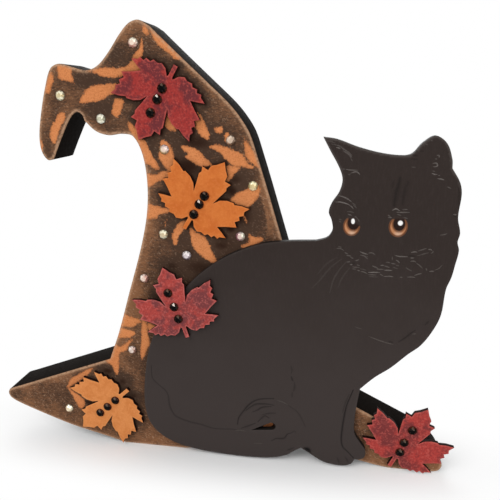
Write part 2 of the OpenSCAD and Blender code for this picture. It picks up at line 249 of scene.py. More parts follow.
# Lines on the cat, each a strength and its points: pale fur strokes, faint whiskers and cut lines
FUR = [
    (0.35, (48, 144.7), (50, 144.4), (51.8, 143.7)),
    (0.4, (50.4, 143.5), (53.6, 142.5), (56.4, 140.4), (58.6, 137)),
    (0.8, (52.2, 142.1), (53, 142), (53.9, 141.6)), (0.45, (52, 143.1), (53.4, 142.7), (54.6, 142.1)),
    (0.55, (54.4, 141.7), (56.4, 140.6), (58.3, 138.4)), (0.5, (54.8, 140.9), (56.4, 140), (57.7, 138.9)),
    (0.4, (55.6, 141.4), (57.4, 139.9), (58.4, 139)), (0.3, (57.8, 138.2), (58.6, 136.9)),
    (0.6, (56.2, 133.9), (58, 133.6), (60.8, 133.6)),
    (0.8, (58, 132.4), (60, 133), (61, 132.5), (61.6, 131.8)), (0.35, (54.9, 134.1), (56, 133.8)),
    (0.3, (57, 132), (58, 131.8)), (0.8, (53.3, 123.8), (55.5, 123.2), (57.6, 122.2), (59, 121.1)),
    (0.35, (59.2, 120.9), (60.6, 119.8)), (1, (52.6, 121.1), (54.6, 121.1), (57, 120.5), (58.2, 119.9)),
    (0.65, (58.2, 119.8), (59, 119.4), (59.7, 118.5)), (0.35, (59.6, 120), (61, 118.8)),
    (0.35, (57.2, 117.3), (58.6, 117.4), (60, 116.9)), (0.6, (57.6, 116.4), (59.2, 115.9)),
    (0.4, (60.3, 115.7), (61.4, 114.8)), (0.4, (61.2, 114.8), (61.9, 114), (62, 113)),
    (0.4, (54.2, 114.3), (55.3, 114)), (0.35, (54.3, 113.4), (55.2, 113.1)),
    (1, (74.4, 118.2), (75.2, 118.7), (76, 118.9), (77.3, 118.2)),
    (0.7, (76.1, 117.6), (78.4, 117.6), (81, 117.7)), (0.5, (78.2, 118.7), (80.2, 118.8)),
    (0.5, (72.9, 116.4), (73.9, 115.9)), (0.7, (73.1, 115.5), (74.6, 115.4)),
    (0.4, (76.3, 116.8), (78, 116.4)), (0.4, (78.8, 115.6), (80.6, 115.2)), (0.25, (80.4, 135), (82, 134.9)),
    (0.4, (84.7, 143.6), (85.8, 143.3)), (0.4, (86.6, 145), (87.3, 144.8)),
    (0.6, (89.2, 139.5), (90.1, 139.3), (90.1, 138.6)), (0.4, (88.6, 138.2), (89.5, 138.1)),
    (0.75, (88, 136.5), (89.3, 136.6), (89.7, 136), (89.6, 135.4), (88.2, 135.2)),
    (0.35, (88.1, 133.7), (89.2, 133.4)), (0.85, (88, 132.8), (89, 132.4), (90, 132.4)),
    (0.5, (90.4, 132.1), (91, 131.9)), (0.85, (90.1, 130.8), (91.4, 130.7), (92.7, 130.3)),
    (0.4, (93.9, 127.8), (95.4, 127.2)), (0.65, (97, 117.3), (98.3, 117.2)),
    (0.5, (92.9, 109), (94.4, 109.3), (95.6, 109.8)), (0.45, (53.7, 102.2), (55.2, 102.3), (56.7, 101.5)),
    (0.35, (54.4, 103.1), (55.8, 102.8)), (0.55, (57, 100.7), (58.4, 100.1)),
    (0.5, (57.6, 99.6), (59.7, 99.3)), (0.55, (59.3, 98.9), (60.5, 98.3)),
    (0.55, (61.2, 97.5), (62, 97.6), (62.8, 98)), (0.55, (57.8, 96.7), (59.4, 97)),
    (0.75, (59.3, 95.7), (60.3, 95.8)), (0.5, (62, 95.8), (63.2, 95.4)), (0.45, (60.2, 94.8), (63.2, 94.6)),
    (0.45, (60.2, 94), (61.7, 93.9)), (0.55, (62.3, 93.5), (63.4, 93.2)),
    (0.55, (63.5, 93.1), (65, 92.8), (66.4, 92.1)), (0.3, (63.4, 94.2), (66, 93.6)),
    (0.9, (63, 101.3), (64.4, 100.7), (66.2, 100.2)), (0.55, (63.1, 99.9), (64.8, 99.5), (66.2, 98.3)),
    (0.35, (65.4, 99), (66.2, 99.4)), (0.55, (66.3, 100.8), (67.8, 100.9), (69, 100.2)),
    (1, (66.6, 92.7), (69, 92.9), (71.2, 92.9)), (0.5, (66.6, 91.8), (70, 91.8)),
    (0.55, (71.2, 92.3), (72.7, 91.5)), (0.3, (67, 91), (70.6, 91)),
    (0.6, (68, 95.6), (69.5, 95), (71, 94.2)), (0.55, (69.8, 94), (71.5, 94.3), (72.6, 94.2)),
    (1, (71.3, 95.9), (72.6, 96)), (0.6, (72.7, 95.8), (74.8, 95.2)), (1, (72.8, 94), (75.9, 94)),
    (0.75, (72.8, 91.3), (75, 91.5), (76.6, 91.3)), (0.45, (73.2, 97.3), (75, 97.2)),
    (0.65, (75.2, 97), (77, 96.7)), (0.35, (75.6, 99.8), (75.7, 98.2)),
    (0.9, (76.6, 100.3), (78.3, 99.9), (81.5, 99.9)), (0.65, (77, 98.4), (77.8, 98), (78.6, 97.2)),
    (0.35, (77.2, 96.2), (78.5, 96.1)), (0.35, (76, 95.4), (78, 94.8)),
    (0.35, (81, 95.5), (82.4, 94.6), (83.6, 94)), (0.8, (82.6, 101.7), (84, 102), (85, 101.9)),
    (0.5, (85.2, 102.3), (86.6, 102.9), (88.4, 103.6)), (0.8, (89, 103.2), (89.8, 103.2), (90.5, 102.8)),
    (0.45, (90.6, 102.7), (90.9, 102.3), (90.2, 101.5)), (0.35, (85, 100.4), (87, 101.1), (89.4, 101.9)),
    (0.6, (82.4, 99.4), (84, 99.5)), (0.6, (82.6, 98.1), (84, 98.2), (84.8, 97.8)),
    (0.45, (85, 97.4), (86.4, 96.4), (87.5, 95.3)), (0.45, (88.7, 95.5), (89.2, 94.4)),
    (0.7, (90, 94.2), (91.9, 94.4)), (0.35, (92, 94.8), (93.6, 95.6), (94.8, 97.2)),
    (0.6, (84.5, 92.3), (86, 92.9), (87.3, 93.3)), (0.7, (81.9, 91.5), (83.4, 91.6), (85, 91.5)),
    (0.55, (79, 91.3), (80.1, 91.3)), (0.5, (68.2, 64.9), (72.6, 63.4), (76, 62.4), (78.4, 62)),
    (0.3, (62.4, 68.8), (65.6, 68)), (0.4, (85.6, 67.1), (87.2, 67.4)),
    (0.4, (30, 31.6), (32.5, 31), (35, 29.8)), (0.4, (11, 14.3), (14, 14.6), (16, 14.4)),
    (0.4, (19.6, 8.4), (23.6, 8.8))]
WHISKERS = [
    (0.17, (56, 98), (51.5, 94), (47.8, 89), (44, 84.6)),
    (0.2, (57.6, 96.6), (54.6, 92.4), (52.8, 88.4), (51.6, 83)),
    (0.17, (59.4, 94.6), (57.4, 91.6), (56, 89), (54.8, 85.4)), (0.14, (54, 98.6), (50, 95.6), (46.4, 91))]
CUTS = [
    (0.5, (81.2, 140.9), (82.2, 140.7)), (0.5, (80.8, 139.3), (82.2, 139.2)),
    (0.5, (80.4, 138), (82.2, 137.9)), (0.4, (83.2, 140.9), (84.2, 140.9)), (0.5, (82, 100.3), (84, 100.2)),
    (0.4, (60, 96.4), (61.2, 96.2)), (0.4, (98, 127), (98.4, 125.6), (98.6, 123), (98.9, 119.5)),
    (0.4, (97.4, 116.5), (98.4, 116.4)),
    (0.5, (-27.2, 44), (-27, 38), (-24, 34.5), (-21.6, 32.4), (-20, 29.5), (-19.5, 24.2), (-17.4, 19.6),
     (-14.5, 18), (-10.7, 16.8), (-4.5, 15.7), (1.6, 14.3), (10, 14.8), (13.4, 14.2)),
    (0.8, (12.2, 18), (12.8, 21), (14.7, 24.2), (17.4, 28), (20.8, 30.7), (24.7, 31.8), (28.6, 32.2)),
    (0.35, (35.4, 29.4), (38.4, 27.2), (40.6, 24.4), (43, 19.4)),
    (0.7, (16, 25), (18.4, 27.2), (21, 28.8), (25, 29.2), (28.6, 28.9)),
    (0.7, (19.6, 24.8), (21.4, 25.8), (23.6, 27.4), (27.6, 28.2)),
    (0.6, (21.6, 19.8), (23, 21.6), (24.8, 23.2), (26.4, 22.4)),
    (0.5, (23.6, 23.6), (26.4, 24.6), (29.4, 25)), (0.6, (14, 15.8), (17, 17.2), (20, 18.8)),
    (0.7, (28, 10.8), (30, 12), (32, 12.2), (33.6, 12.7), (35, 14.8), (36.4, 15.4)),
    (0.4, (36.8, 15.7), (38, 16.6), (38.7, 16)), (0.6, (34.8, 6.4), (36.4, 7.1), (38, 8)),
    (0.45, (36.2, 48.6), (36.6, 47), (36.4, 45.6)), (0.7, (36.4, 43.6), (36.8, 42.2), (37.2, 41.6)),
    (0.5, (37.8, 40.8), (37.9, 38.8), (37.4, 36.6)), (0.45, (36.8, 35.6), (36.8, 34)),
    (0.9, (63, 39.5), (62.2, 37), (60.6, 32), (59.7, 26.5), (59, 19), (58.9, 14), (59.7, 10.8), (62, 8.4),
     (64.6, 5.6)), (0.4, (61.4, 37.4), (60, 33), (58.9, 28)), (0.5, (57.4, 5), (58.4, 2.2)),
    (0.5, (61, 5.6), (62.4, 3.2)), (0.5, (76.4, 63.2), (78, 62.8)),
    (0.6, (80.4, 63.2), (82.6, 65), (84.8, 67.2), (86.6, 68.8)), (0.5, (90.4, 71.6), (91.6, 73.2)),
    (0.35, (74.4, 130), (74, 127))]
# The same for broad dark lines, sunk like the cut lines, with half their width after the strength; the last
# is a dark mark on the paw beside the notch
BROAD_CUTS = [
    (0.5, 1, (76.6, 131), (75.9, 127), (75.3, 123), (75, 119.8)),
    (0.35, 0.9, (79.6, 129.4), (78.6, 125.5), (78.1, 120.5)),
    (1.3, 0.95, (42.8, 8.2), (44.3, 7.7), (45.2, 6.7))]

# Half widths, heights and spacing of those lines in millimetres, and their width at the ends as a share
FUR_HALF, WHISKER_HALF, CUT_HALF = 0.32, 0.45, 0.36
FUR_RISE, FUR_SUNK, CUT_DEPTH = 0.08, 0.02, 0.25
FUR_STEP, CUT_STEP = 0.3, 0.1
LINE_TAPER = 0.4
CUT_SHADE = 0.9
# Rows of mesh points along a cut line, in half widths to its side, and how far apart they stay
CUT_ROWS = (-2.2, -1, 0, 1, 2.2)
CUT_EVERY, CUT_APART = 3, 0.16

# Eyes: middle and half sizes of the eye, the pupil and the glint, and the two ends of the lid
EYES = {
    "eye_left": (
        (59.3, 111.5), (3.4, 4), (60, 113), (2.5, 3), (59.75, 113.6), (0.68, 1.05), ((56, 115.6), (63, 111))),
    "eye_right": (
        (77.1, 111.9), (3.7, 4.3), (77.4, 113.1), (2.4, 3), (77.8, 113.4), (0.92, 0.95),
        ((73.4, 114.6), (81.2, 114.6)))}
EYE_RISE, EYE_SUNK = 0.3, 0.04
EYE_RINGS, EYE_AROUND = 24, 64
# Where their paint starts and ends: in shares of the pupil or the eye, and in millimetres above the lid
PUPIL_EDGE, PUPIL_LID = (1.15, 0.95), (0.9, -0.2)
IRIS_PUPIL, IRIS_LID, IRIS_EDGE = (0.9, 1.05), (0.5, -0.5), (1, 0.9)
RIM_PUPIL, RIM_EDGE, RIM_DEPTH = (1.35, 0.95), (0.7, 0.9), 0.92
# The painted highlight on the iris: its middle from the eye's middle, and its reach
HIGHLIGHT_AT, HIGHLIGHT_REACH = (0.2, -2.9), (2.2, 0.3)
GLINT_EDGE = (1.2, 0.8)


def on_hat(points):
    """Drawn places, as x and z in metres."""
    return np.asarray(points, float) * MM + (MID_X, 0)


def drawn(places):
    """Places in metres, as they are drawn on the hat."""
    return (places - (MID_X, 0)) / MM


def unit(v):
    return v / np.maximum(np.linalg.norm(v, axis=-1, keepdims=True), NO_LENGTH)


def left(way):
    """Ways turned a quarter to the left."""
    return np.stack([-way[:, 1], way[:, 0]], 1)


def step(low, high, value):
    t = np.clip((value - low) / (high - low), 0, 1)
    return t * t * (3 - 2 * t)


def smooth(points, spacing, closed=False):
    """A Catmull-Rom curve through the points, as places about the spacing apart."""
    p = np.asarray(points, float)
    if closed:
        ends = np.vstack([p[-1:], p, p[:2]])
    else:
        ends = np.vstack([2 * p[0] - p[1], p, 2 * p[-1] - p[-2]])
    out = []
    for a, b, c, d in zip(ends, ends[1:], ends[2:], ends[3:]):
        count = max(2, math.ceil(np.linalg.norm(c - b) / spacing))
        t = np.arange(count)[:, None] / count
        bend, twist = a - 2.5 * b + 2 * c - d / 2, 1.5 * (b - c) + (d - a) / 2
        out.append(b + t * (c - a) / 2 + t**2 * bend + t**3 * twist)
    return np.vstack(out if closed else out + [p[-1:]])


def split(loop, spacing):
    """The loop with points added along its straight pieces."""
    out = []
    for a, b in zip(loop, np.roll(loop, -1, 0)):
        count = max(1, math.ceil(np.linalg.norm(b - a) / spacing))
        out += [a + (b - a) * k / count for k in range(count)]
    return np.array(out)


def nearest(points, places):
    """Distance from each point to the nearest of the places, and which place that is."""
    tree = KDTree(len(places))
    for i, (x, z) in enumerate(places):
        tree.insert((x, z, 0), i)
    tree.balance()
    found = [tree.find((x, z, 0)) for x, z in points]
    return np.array([f[2] for f in found]), np.array([f[1] for f in found], int)


def loop_distance(points, loops):
    """Distance from each point to the nearest straight piece of the loops."""
    starts, ends = np.vstack(loops), np.vstack([np.roll(loop, -1, 0) for loop in loops])
    way, off = ends - starts, points[:, None] - starts
    t = np.clip((off * way).sum(2) / np.maximum((way**2).sum(1), NO_LENGTH**2), 0, 1)
    return np.sqrt(((off - t[..., None] * way) ** 2).sum(2).min(1))


def rim_distance(points, loops):
    """The same, from close-set places on the loops, for many points."""
    return nearest(points, np.vstack([split(loop, RIM_STEP * MM) for loop in loops]))[0]


def inside(points, loop):
    a, b = loop, np.roll(loop, -1, 0)
    x, z = points[:, :1], points[:, 1:]
    crosses = (a[:, 1] > z) != (b[:, 1] > z)
    rise = np.where(b[:, 1] == a[:, 1], 1, b[:, 1] - a[:, 1])
    return (crosses & (x < a[:, 0] + (z - a[:, 1]) * (b[:, 0] - a[:, 0]) / rise)).sum(1) % 2 == 1


def outline(node):
    """The closed loops round a node's front face, the widest first, with the solid on their left."""
    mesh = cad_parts[node].data
    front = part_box(node)[0].y
    mesh.calc_loop_triangles()
    key = {
        v.index: tuple(round(c, PLACE_DIGITS) for c in v.co.xz)
        for v in mesh.vertices if v.co.y < front + ON_FRONT}
    ways = set()
    for triangle in mesh.loop_triangles:
        if all(i in key for i in triangle.vertices):
            corners = [key[i] for i in triangle.vertices]
            ways.update(zip(corners, corners[1:] + corners[:1]))
    follow = {a: b for a, b in ways if (b, a) not in ways}
    loops = []
    while follow:
        first = min(follow)
        loop, here = [first], follow.pop(first)
        while here != first:
            loop.append(here)
            here = follow.pop(here)
        loops.append(np.array(loop))
    return sorted(loops, key=lambda loop: -np.ptp(loop[:, 0]))


def inset(loop, amount, loops):
    """The loop moved into the solid, and for each of its points the one that stands for it.
    Points that would cross over at a sharp tip are stood for by the one that reaches furthest in."""
    before, after = unit(loop - np.roll(loop, 1, 0)), unit(np.roll(loop, -1, 0) - loop)
    middle = unit(left(before) + left(after))
    lean = np.maximum((middle * left(before)).sum(1, keepdims=True), INSET_LEAST)
    moved = loop + middle * (amount / lean)
    clear = loop_distance(moved, loops)
    lost = clear < INSET_CLEAR * amount
    stands = np.arange(len(loop))
    first = int(np.argmin(lost))
    run = []
    for i in [(first + k) % len(loop) for k in range(len(loop) + 1)]:
        if lost[i]:
            run.append(i)
        elif run:
            stands[run] = run[int(np.argmax(clear[run]))]
            run = []
    return moved, stands


def fill(rings, points):
    """Triangles over the area inside the first ring and outside the others, through the loose points."""
    flat = np.vstack(rings + [points])
    edges, start = [], 0
    for ring in rings:
        edges += [(start + i, start + (i + 1) % len(ring)) for i in range(len(ring))]
        start += len(ring)
    places, _, faces, origin, _, _ = delaunay_2d_cdt(
        [Vector(p) for p in flat], edges, [], TRIANGLES_INSIDE, SAME_PLACE)
    index = [min(o) if o else int(np.argmin(((flat - p) ** 2).sum(1))) for o, p in zip(origin, places)]
    middle = np.array([[sum(places[i].x for i in f) / 3, sum(places[i].y for i in f) / 3] for f in faces])
    keep = np.ones(len(faces), bool)
    for ring in rings[1:]:
        keep &= ~inside(middle, ring)
    return [[index[i] for i in f] for f, k in zip(faces, keep) if k]


def front_points(rings, spacing, lines):
    """Points inside the rings, spread in even triangles, but on the lines where there are any."""
    low, high = rings[0].min(0), rings[0].max(0)
    rows = np.arange(low[1], high[1], spacing * math.sqrt(0.75))
    columns = np.arange(low[0], high[0], spacing)
    points = np.array([(x + spacing / 2 * (k % 2), z) for k, z in enumerate(rows) for x in columns])
    points = points[inside(points, rings[0])]
    for ring in rings[1:]:
        points = points[~inside(points, ring)]
    points = points[rim_distance(points, rings) > RIM_CLEAR * spacing]
    if len(lines):
        points = np.vstack([points[nearest(points, lines)[0] > LINE_CLEAR * spacing], lines])
        points = points[inside(points, rings[0])]
        points = points[rim_distance(points, rings) > LINE_RIM_CLEAR * spacing]
    return points


def add_object(name, data):
    made = bpy.data.objects.new(name, data)
    scene.collection.objects.link(made)
    return made


def add_piece(name, verts, faces, material, nodes=(), smooth_faces=True):
    mesh = bpy.data.meshes.new(name)
    mesh.from_pydata([tuple(v) for v in verts], [], faces)
    if smooth_faces:
        mesh.polygons.foreach_set("use_smooth", [True] * len(mesh.polygons))
        mesh.set_sharp_from_angle(angle=SHARP)
    mesh.materials.append(material)
    piece = add_object(name, mesh)
    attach(piece, "root")
    if nodes:
        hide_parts(*nodes)
    return piece


def mark(piece, name, values, kind="FLOAT", domain="POINT"):
    """A number or a colour on each point or corner, for the piece's material."""
    made = piece.data.attributes.new(name, kind, domain)
    made.data.foreach_set("value" if kind == "FLOAT" else "color", np.asarray(values, np.float32).ravel())


def strip(a, b):
    """Faces between two rings of points."""
    return list(zip(a, b, b[1:] + b[:1], a[1:] + a[:1]))


def eased_wall(loops, front, back, ease):
    """The wall of a sheet with both edges rounded: its points and faces, the rings of points round the flat
    front and the flat back, and the row of each point, counted from the front."""
    eased = []
    for turn in np.linspace(0, math.pi / 2, EASE_TURNS):
        aside, deep = ease * (1 - math.sin(turn)), ease * (1 - math.cos(turn))
        eased.append((deep, [inset(loop, aside, loops) for loop in loops]))
    levels = [(front + deep, moved) for deep, moved in eased]
    levels += [(back - deep, moved) for deep, moved in eased[::-1]]
    verts, faces, rings, rows = [], [], [], []
    for row, (y, moved) in enumerate(levels):
        rings.append([])
        for places, stands in moved:
            number = {i: len(verts) + n for n, i in enumerate(dict.fromkeys(stands))}
            rings[-1].append([number[i] for i in stands])
            verts += [(places[i][0], y, places[i][1]) for i in number]
            rows += [row] * len(number)
    for here, there in zip(rings, rings[1:]):
        corners = [list(dict.fromkeys(face)) for a, b in zip(here, there) for face in strip(a, b)]
        faces += [face for face in corners if len(face) > 2]
    ends = [[list(dict.fromkeys(ring)) for ring in row] for row in (rings[0], rings[-1])]
    return verts, faces, ends, np.array(rows)


def cut_out(node, material, ease, spacing, lines=(), sunk=None):
    """A cut-out sheet with eased edges and a finely divided front that follows the lines and may be sunk.
    Returns the piece and its points as drawn. Its marks are face, 1 on the front and 0 on the sides, edge,
    1 along the eased front edge, rim, millimetres from the outline, and back, 1 on the back."""
    loops = [split(loop, spacing * MM) for loop in outline(node)]
    low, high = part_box(node)
    verts, faces, ends, rows = eased_wall(loops, low.y, high.y, ease * MM)
    front, back = [[np.array([verts[i][::2] for i in ring]) for ring in rings] for rings in ends]
    front_index, back_index = [[i for ring in rings for i in ring] for rings in ends]
    points = front_points(front, spacing * MM, lines)
    start = len(verts)
    verts = np.array(verts + [(x, low.y, z) for x, z in points])
    if sunk is not None:
        verts[start:, 1] += sunk(drawn(points)) * MM
    front_index += range(start, len(verts))
    faces += [[front_index[i] for i in f] for f in fill(front, points)]
    faces += [[back_index[i] for i in f[::-1]] for f in fill(back, np.zeros((0, 2)))]
    piece = add_piece("painted_" + node, verts, faces, material, [node])
    rim = rim_distance(points, loops) / MM
    mark(piece, "face", np.append(rows < EASE_TURNS - 1, np.ones(len(points))))
    mark(piece, "edge", np.append(rows < EASE_TURNS, np.exp(-((rim / ease) ** 2) / 2)))
    mark(piece, "rim", np.append(np.zeros(start), rim))
    mark(piece, "back", np.isin(np.arange(len(verts)), back_index))
    return piece, drawn(verts[:, ::2])


def spots(points, places):
    """Soft spots, each with a middle, reach across, reach up and strength. The strongest one counts."""
    total = np.zeros(len(points))
    for x, z, wide, high, strength in places:
        off = (points - (x, z)) / (wide, high)
        spot = strength * np.exp(-(off**2).sum(1))
        total = np.where(np.abs(spot) > np.abs(total), spot, total)
    return total


# Materials. The sizes of their noises are in millimetres.


def colour(rgb):
    """A colour as seen on a screen, as the linear colour a shader takes."""
    c = np.array(rgb) / 255
    return (*np.where(c <= 0.04045, c / 12.92, ((c + 0.055) / 1.055) ** 2.4), 1)


class Paint:
    """A material of a few kinds of nodes. Named ramps: from, to, and the values there unless 0 and 1."""

    def __init__(self, name, ramps, roughness=0.5, specular=0.5):
        self.ramps = ramps
        self.material = bpy.data.materials.new(name)
        self.material.use_nodes = True
        self.tree = self.material.node_tree
        self.shader = self.tree.nodes["Principled BSDF"]
        self.shader.inputs["Roughness"].default_value = roughness
        self.shader.inputs["Specular IOR Level"].default_value = specular
        self.place = self.node("ShaderNodeTexCoord").outputs["Object"]

    def put(self, value, socket):
        if isinstance(value, bpy.types.NodeSocket):
            self.tree.links.new(value, socket)
        else:
            socket.default_value = value

    def node(self, kind, inputs=None, **settings):
        made = self.tree.nodes.new(kind)
        for key, value in settings.items():
            setattr(made, key, value)
        for key, value in (inputs or {}).items():
            self.put(value, made.inputs[key])
        return made

    def noise(self, size, detail=3, roughness=0.6, stretch=(1, 1, 1), distortion=0, turn=0):
        """Noise of about this size, turned, then drawn out along an axis by its stretch."""
        scale = [size * MM * s for s in stretch]
        inputs = {"Vector": self.place, "Scale": scale, "Rotation": (0, turn, 0)}
        place = self.node("ShaderNodeMapping", inputs, vector_type="TEXTURE").outputs["Vector"]
        inputs = {
            "Vector": place, "Scale": 1, "Detail": detail, "Roughness": roughness, "Distortion": distortion}
        return self.node("ShaderNodeTexNoise", inputs).outputs["Fac"]

    def mark(self, name, output="Fac"):
        return self.node("ShaderNodeAttribute", attribute_name=name).outputs[output]

    def times(self, a, b):
        return self.node("ShaderNodeMath", {0: a, 1: b}, operation="MULTIPLY").outputs[0]

    def plus(self, a, b, share=1):
        """The first value and this share of the second."""
        return self.node("ShaderNodeMath", {0: b, 1: share, 2: a}, operation="MULTIPLY_ADD").outputs[0]

    def ramp(self, value, name):
        low, high, bottom, top = (*self.ramps[name], 0, 1)[:4]
        inputs = {"Value": value, "From Min": low, "From Max": high, "To Min": bottom, "To Max": top}
        return self.node("ShaderNodeMapRange", inputs, interpolation_type="SMOOTHSTEP").outputs["Result"]

    def mix(self, share, a, b, blend="MIX"):
        a, b = [colour(c) if isinstance(c, tuple) else c for c in (a, b)]
        inputs = {"Factor": share, 6: a, 7: b}
        return self.node("ShaderNodeMix", inputs, data_type="RGBA", blend_type=blend).outputs[2]

    def bump(self, height, depth, strength):
        """Bumps of this depth in millimetres."""
        inputs = {"Height": height, "Distance": depth * MM, "Strength": strength}
        self.put(self.node("ShaderNodeBump", inputs).outputs["Normal"], self.shader.inputs["Normal"])

    def done(self, base, roughness=None):
        self.put(base, self.shader.inputs["Base Color"])
        if roughness is not None:
            self.put(roughness, self.shader.inputs["Roughness"])
        return self.material


BOARD_RAMPS = {
    "patches": (0.3, 0.7, 0.25, 0.52), "brown_rim": (0, 7, 0.16, 0), "brown_stain_and_shadow": (-1, 1, 2, 0),
    "brushed": (0.22, 0.84), "flecks": (0.58, 0.74, 0, 0.6), "fleck_stain_and_shadow": (-0.6, 0.8, 1, 0.25),
    "deep": (0.9, 1.5), "rubbed": (1.2, 2.8, 0.6, 0), "rubbed_grain": (0.35, 0.6),
    "blade_specks": (0.5, 0.72), "blade_grain": (0.62, 0.9, 0, 0.5), "blade_rim": (0.2, 0.9, 0.55, 0),
    "blade": (0, 0.3, 0, 0.96), "blade_stain_and_shadow": (1.1, 1.6, 1, 0.35), "edge": (0.4, 0.6, 0.15, 0.7),
    "back": (0.35, 0.65), "roughness": (0.2, 0.8, 0.55, 0.8)}
NOISE_MIDDLE = 0.5
BROWN_SHARE = 0.7
RUBBED_SPREAD, BLADE_SPREAD, BLADE_PATCHES = 3, 1.7, 0.4
BUMP_GRAIN, BUMP_SPECKS = 0.6, 0.4


def board_paint():
    p = Paint("painted_board", BOARD_RAMPS, specular=0.01)
    grain = p.noise(0.5, stretch=(3.2, 1, 1), distortion=1.2)
    specks = p.noise(0.35, detail=2, roughness=0.5)
    ragged = p.noise(1.1)
    patches = p.noise(11, roughness=0.5)
    rim, stain_and_shadow = p.mark("rim"), p.mark("stain_and_shadow")

    # Brown brushed over black, more of it in patches and along the rim, and less where it is stained or
    # painted with shadow
    brown = p.plus(p.ramp(patches, "patches"), p.ramp(rim, "brown_rim"))
    brown = p.plus(p.times(brown, p.ramp(stain_and_shadow, "brown_stain_and_shadow")), -NOISE_MIDDLE)
    face = p.mix(p.ramp(p.plus(grain, brown, BROWN_SHARE), "brushed"), BOARD_DARK, BOARD_BROWN)
    flecks = p.noise(0.5, detail=2, roughness=0.5, stretch=(2, 1, 1), turn=math.radians(35))
    face = p.mix(p.times(p.ramp(flecks, "flecks"), p.ramp(stain_and_shadow, "fleck_stain_and_shadow")), face, BOARD_FLECK)
    # Near black where the stain and the painted shadow are deepest
    face = p.mix(p.ramp(stain_and_shadow, "deep"), face, BOARD_DEEP_STAIN_AND_SHADOW)
    rubbed = p.ramp(p.plus(rim, ragged, RUBBED_SPREAD), "rubbed")
    face = p.mix(p.times(rubbed, p.ramp(grain, "rubbed_grain")), face, BOARD_RUBBED)

    # Stencilled blades with a ragged rim, darkened by painted shadow next to the leaves
    uneven = p.plus(p.plus(ragged, specks), -2 * NOISE_MIDDLE)
    depth = p.plus(p.mark("blade"), uneven, BLADE_SPREAD)
    stencil = p.mix(p.ramp(specks, "blade_specks"), STENCIL, STENCIL_DEEP)
    stencil = p.mix(p.ramp(p.plus(grain, patches, BLADE_PATCHES), "blade_grain"), stencil, STENCIL_DEEP)
    stencil = p.mix(p.ramp(depth, "blade_rim"), stencil, STENCIL_RIM)
    face = p.mix(p.times(p.ramp(depth, "blade"), p.ramp(stain_and_shadow, "blade_stain_and_shadow")), face, stencil)
    face = p.mix(p.times(p.mark("edge"), p.ramp(ragged, "edge")), face, BOARD_RUBBED)

    # Sides and back
    side = p.mix(p.noise(3, detail=4), BOARD_SIDE, BOARD_SIDE_PALE)
    strokes = p.ramp(p.noise(1.2, detail=4, stretch=(1, 1, 9)), "back")
    side = p.mix(p.mark("back"), side, p.mix(strokes, BOARD_BACK, BOARD_BACK_PALE))
    p.bump(p.plus(p.times(grain, BUMP_GRAIN), specks, BUMP_SPECKS), depth=0.08, strength=0.4)
    return p.done(p.mix(p.mark("face"), side, face), p.ramp(ragged, "roughness"))


# Its height ramp, for painted light that makes the cat lighter low down, and the ramp of a painted highlight
# on its upper edges run over heights above the floor, in metres
CAT_RAMPS = {
    "height": (0.04, 0.14), "brush": (0.45, 0.8, 0, 0.25), "worn": (0.4, 0.6, 0, 0.05),
    "highlight_top": (0.11, 0.14, 0, 0.3), "side": (0.35, 0.65), "roughness": (0.3, 0.7, 0.42, 0.56)}
CLOUD_HEIGHT = 0.04


def cat_paint():
    p = Paint("painted_cat", CAT_RAMPS, specular=0.08)
    brush = p.noise(0.8, detail=4, stretch=(1, 1, 5))
    cloud = p.noise(18, roughness=0.5)
    up = p.node("ShaderNodeSeparateXYZ", {0: p.place}).outputs["Z"]
    # Painted light: lighter low down, darker higher up
    face = p.mix(p.ramp(p.plus(up, cloud, CLOUD_HEIGHT), "height"), CAT_LIT_LOW, CAT_SHADED_HIGH)
    face = p.mix(p.ramp(brush, "brush"), face, CAT_BRUSH)
    # Pale edges: worn in patches, and a painted highlight that grows towards the top
    worn = p.plus(p.ramp(cloud, "worn"), p.ramp(up, "highlight_top"))
    face = p.mix(p.times(p.mark("edge"), worn), face, CAT_PALE)
    face = p.mix(p.mark("cut"), face, CAT_CUT)
    side = p.mix(p.ramp(brush, "side"), CAT_SIDE, CAT_SIDE_PALE)
    p.bump(p.plus(brush, p.noise(0.35, detail=2, roughness=0.5)), depth=0.04, strength=0.4)
    return p.done(p.mix(p.mark("face"), side, face), p.ramp(brush, "roughness"))


FUR_RAMPS = {"dry": (0.35, 0.6, 0.6, 1)}


def fur_paint():
    p = Paint("painted_fur", FUR_RAMPS, roughness=0.55, specular=0.08)
    dry = p.ramp(p.noise(0.5, roughness=0.55), "dry")
    return p.done(p.mix(p.times(p.mark("pale"), dry), CAT_SHADED_HIGH, CAT_PALE))


EYE_RAMPS = {"rays": (0.3, 0.75), "roughness": (0, 1, 0.25, 0.4)}
IRIS_RAYS = 0.12


def eye_paint():
    p = Paint("painted_eye", EYE_RAMPS, specular=0.1)
    rays = p.ramp(p.noise(0.4), "rays")
    base = p.mix(p.times(rays, IRIS_RAYS), p.mark("paint", "Color"), IRIS_RIM)
    return p.done(base, p.ramp(rays, "roughness"))


LEAF_RAMPS = {
    "shade": (0.5, 0.84), "mottle": (0.48, 0.72, 0, 0.5), "light": (0.5, 0.68, 0, 0.6),
    "dark": (0.46, 0.3, 0, 0.7), "worn": (0, 0.8, 0.8, 0), "worn_mottle": (0.38, 0.58, 0.2, 1),
    "roughness": (0.3, 0.7, 0.55, 0.75)}
SHADE_MOTTLE, SHADE_SPOTS = 0.3, 0.3


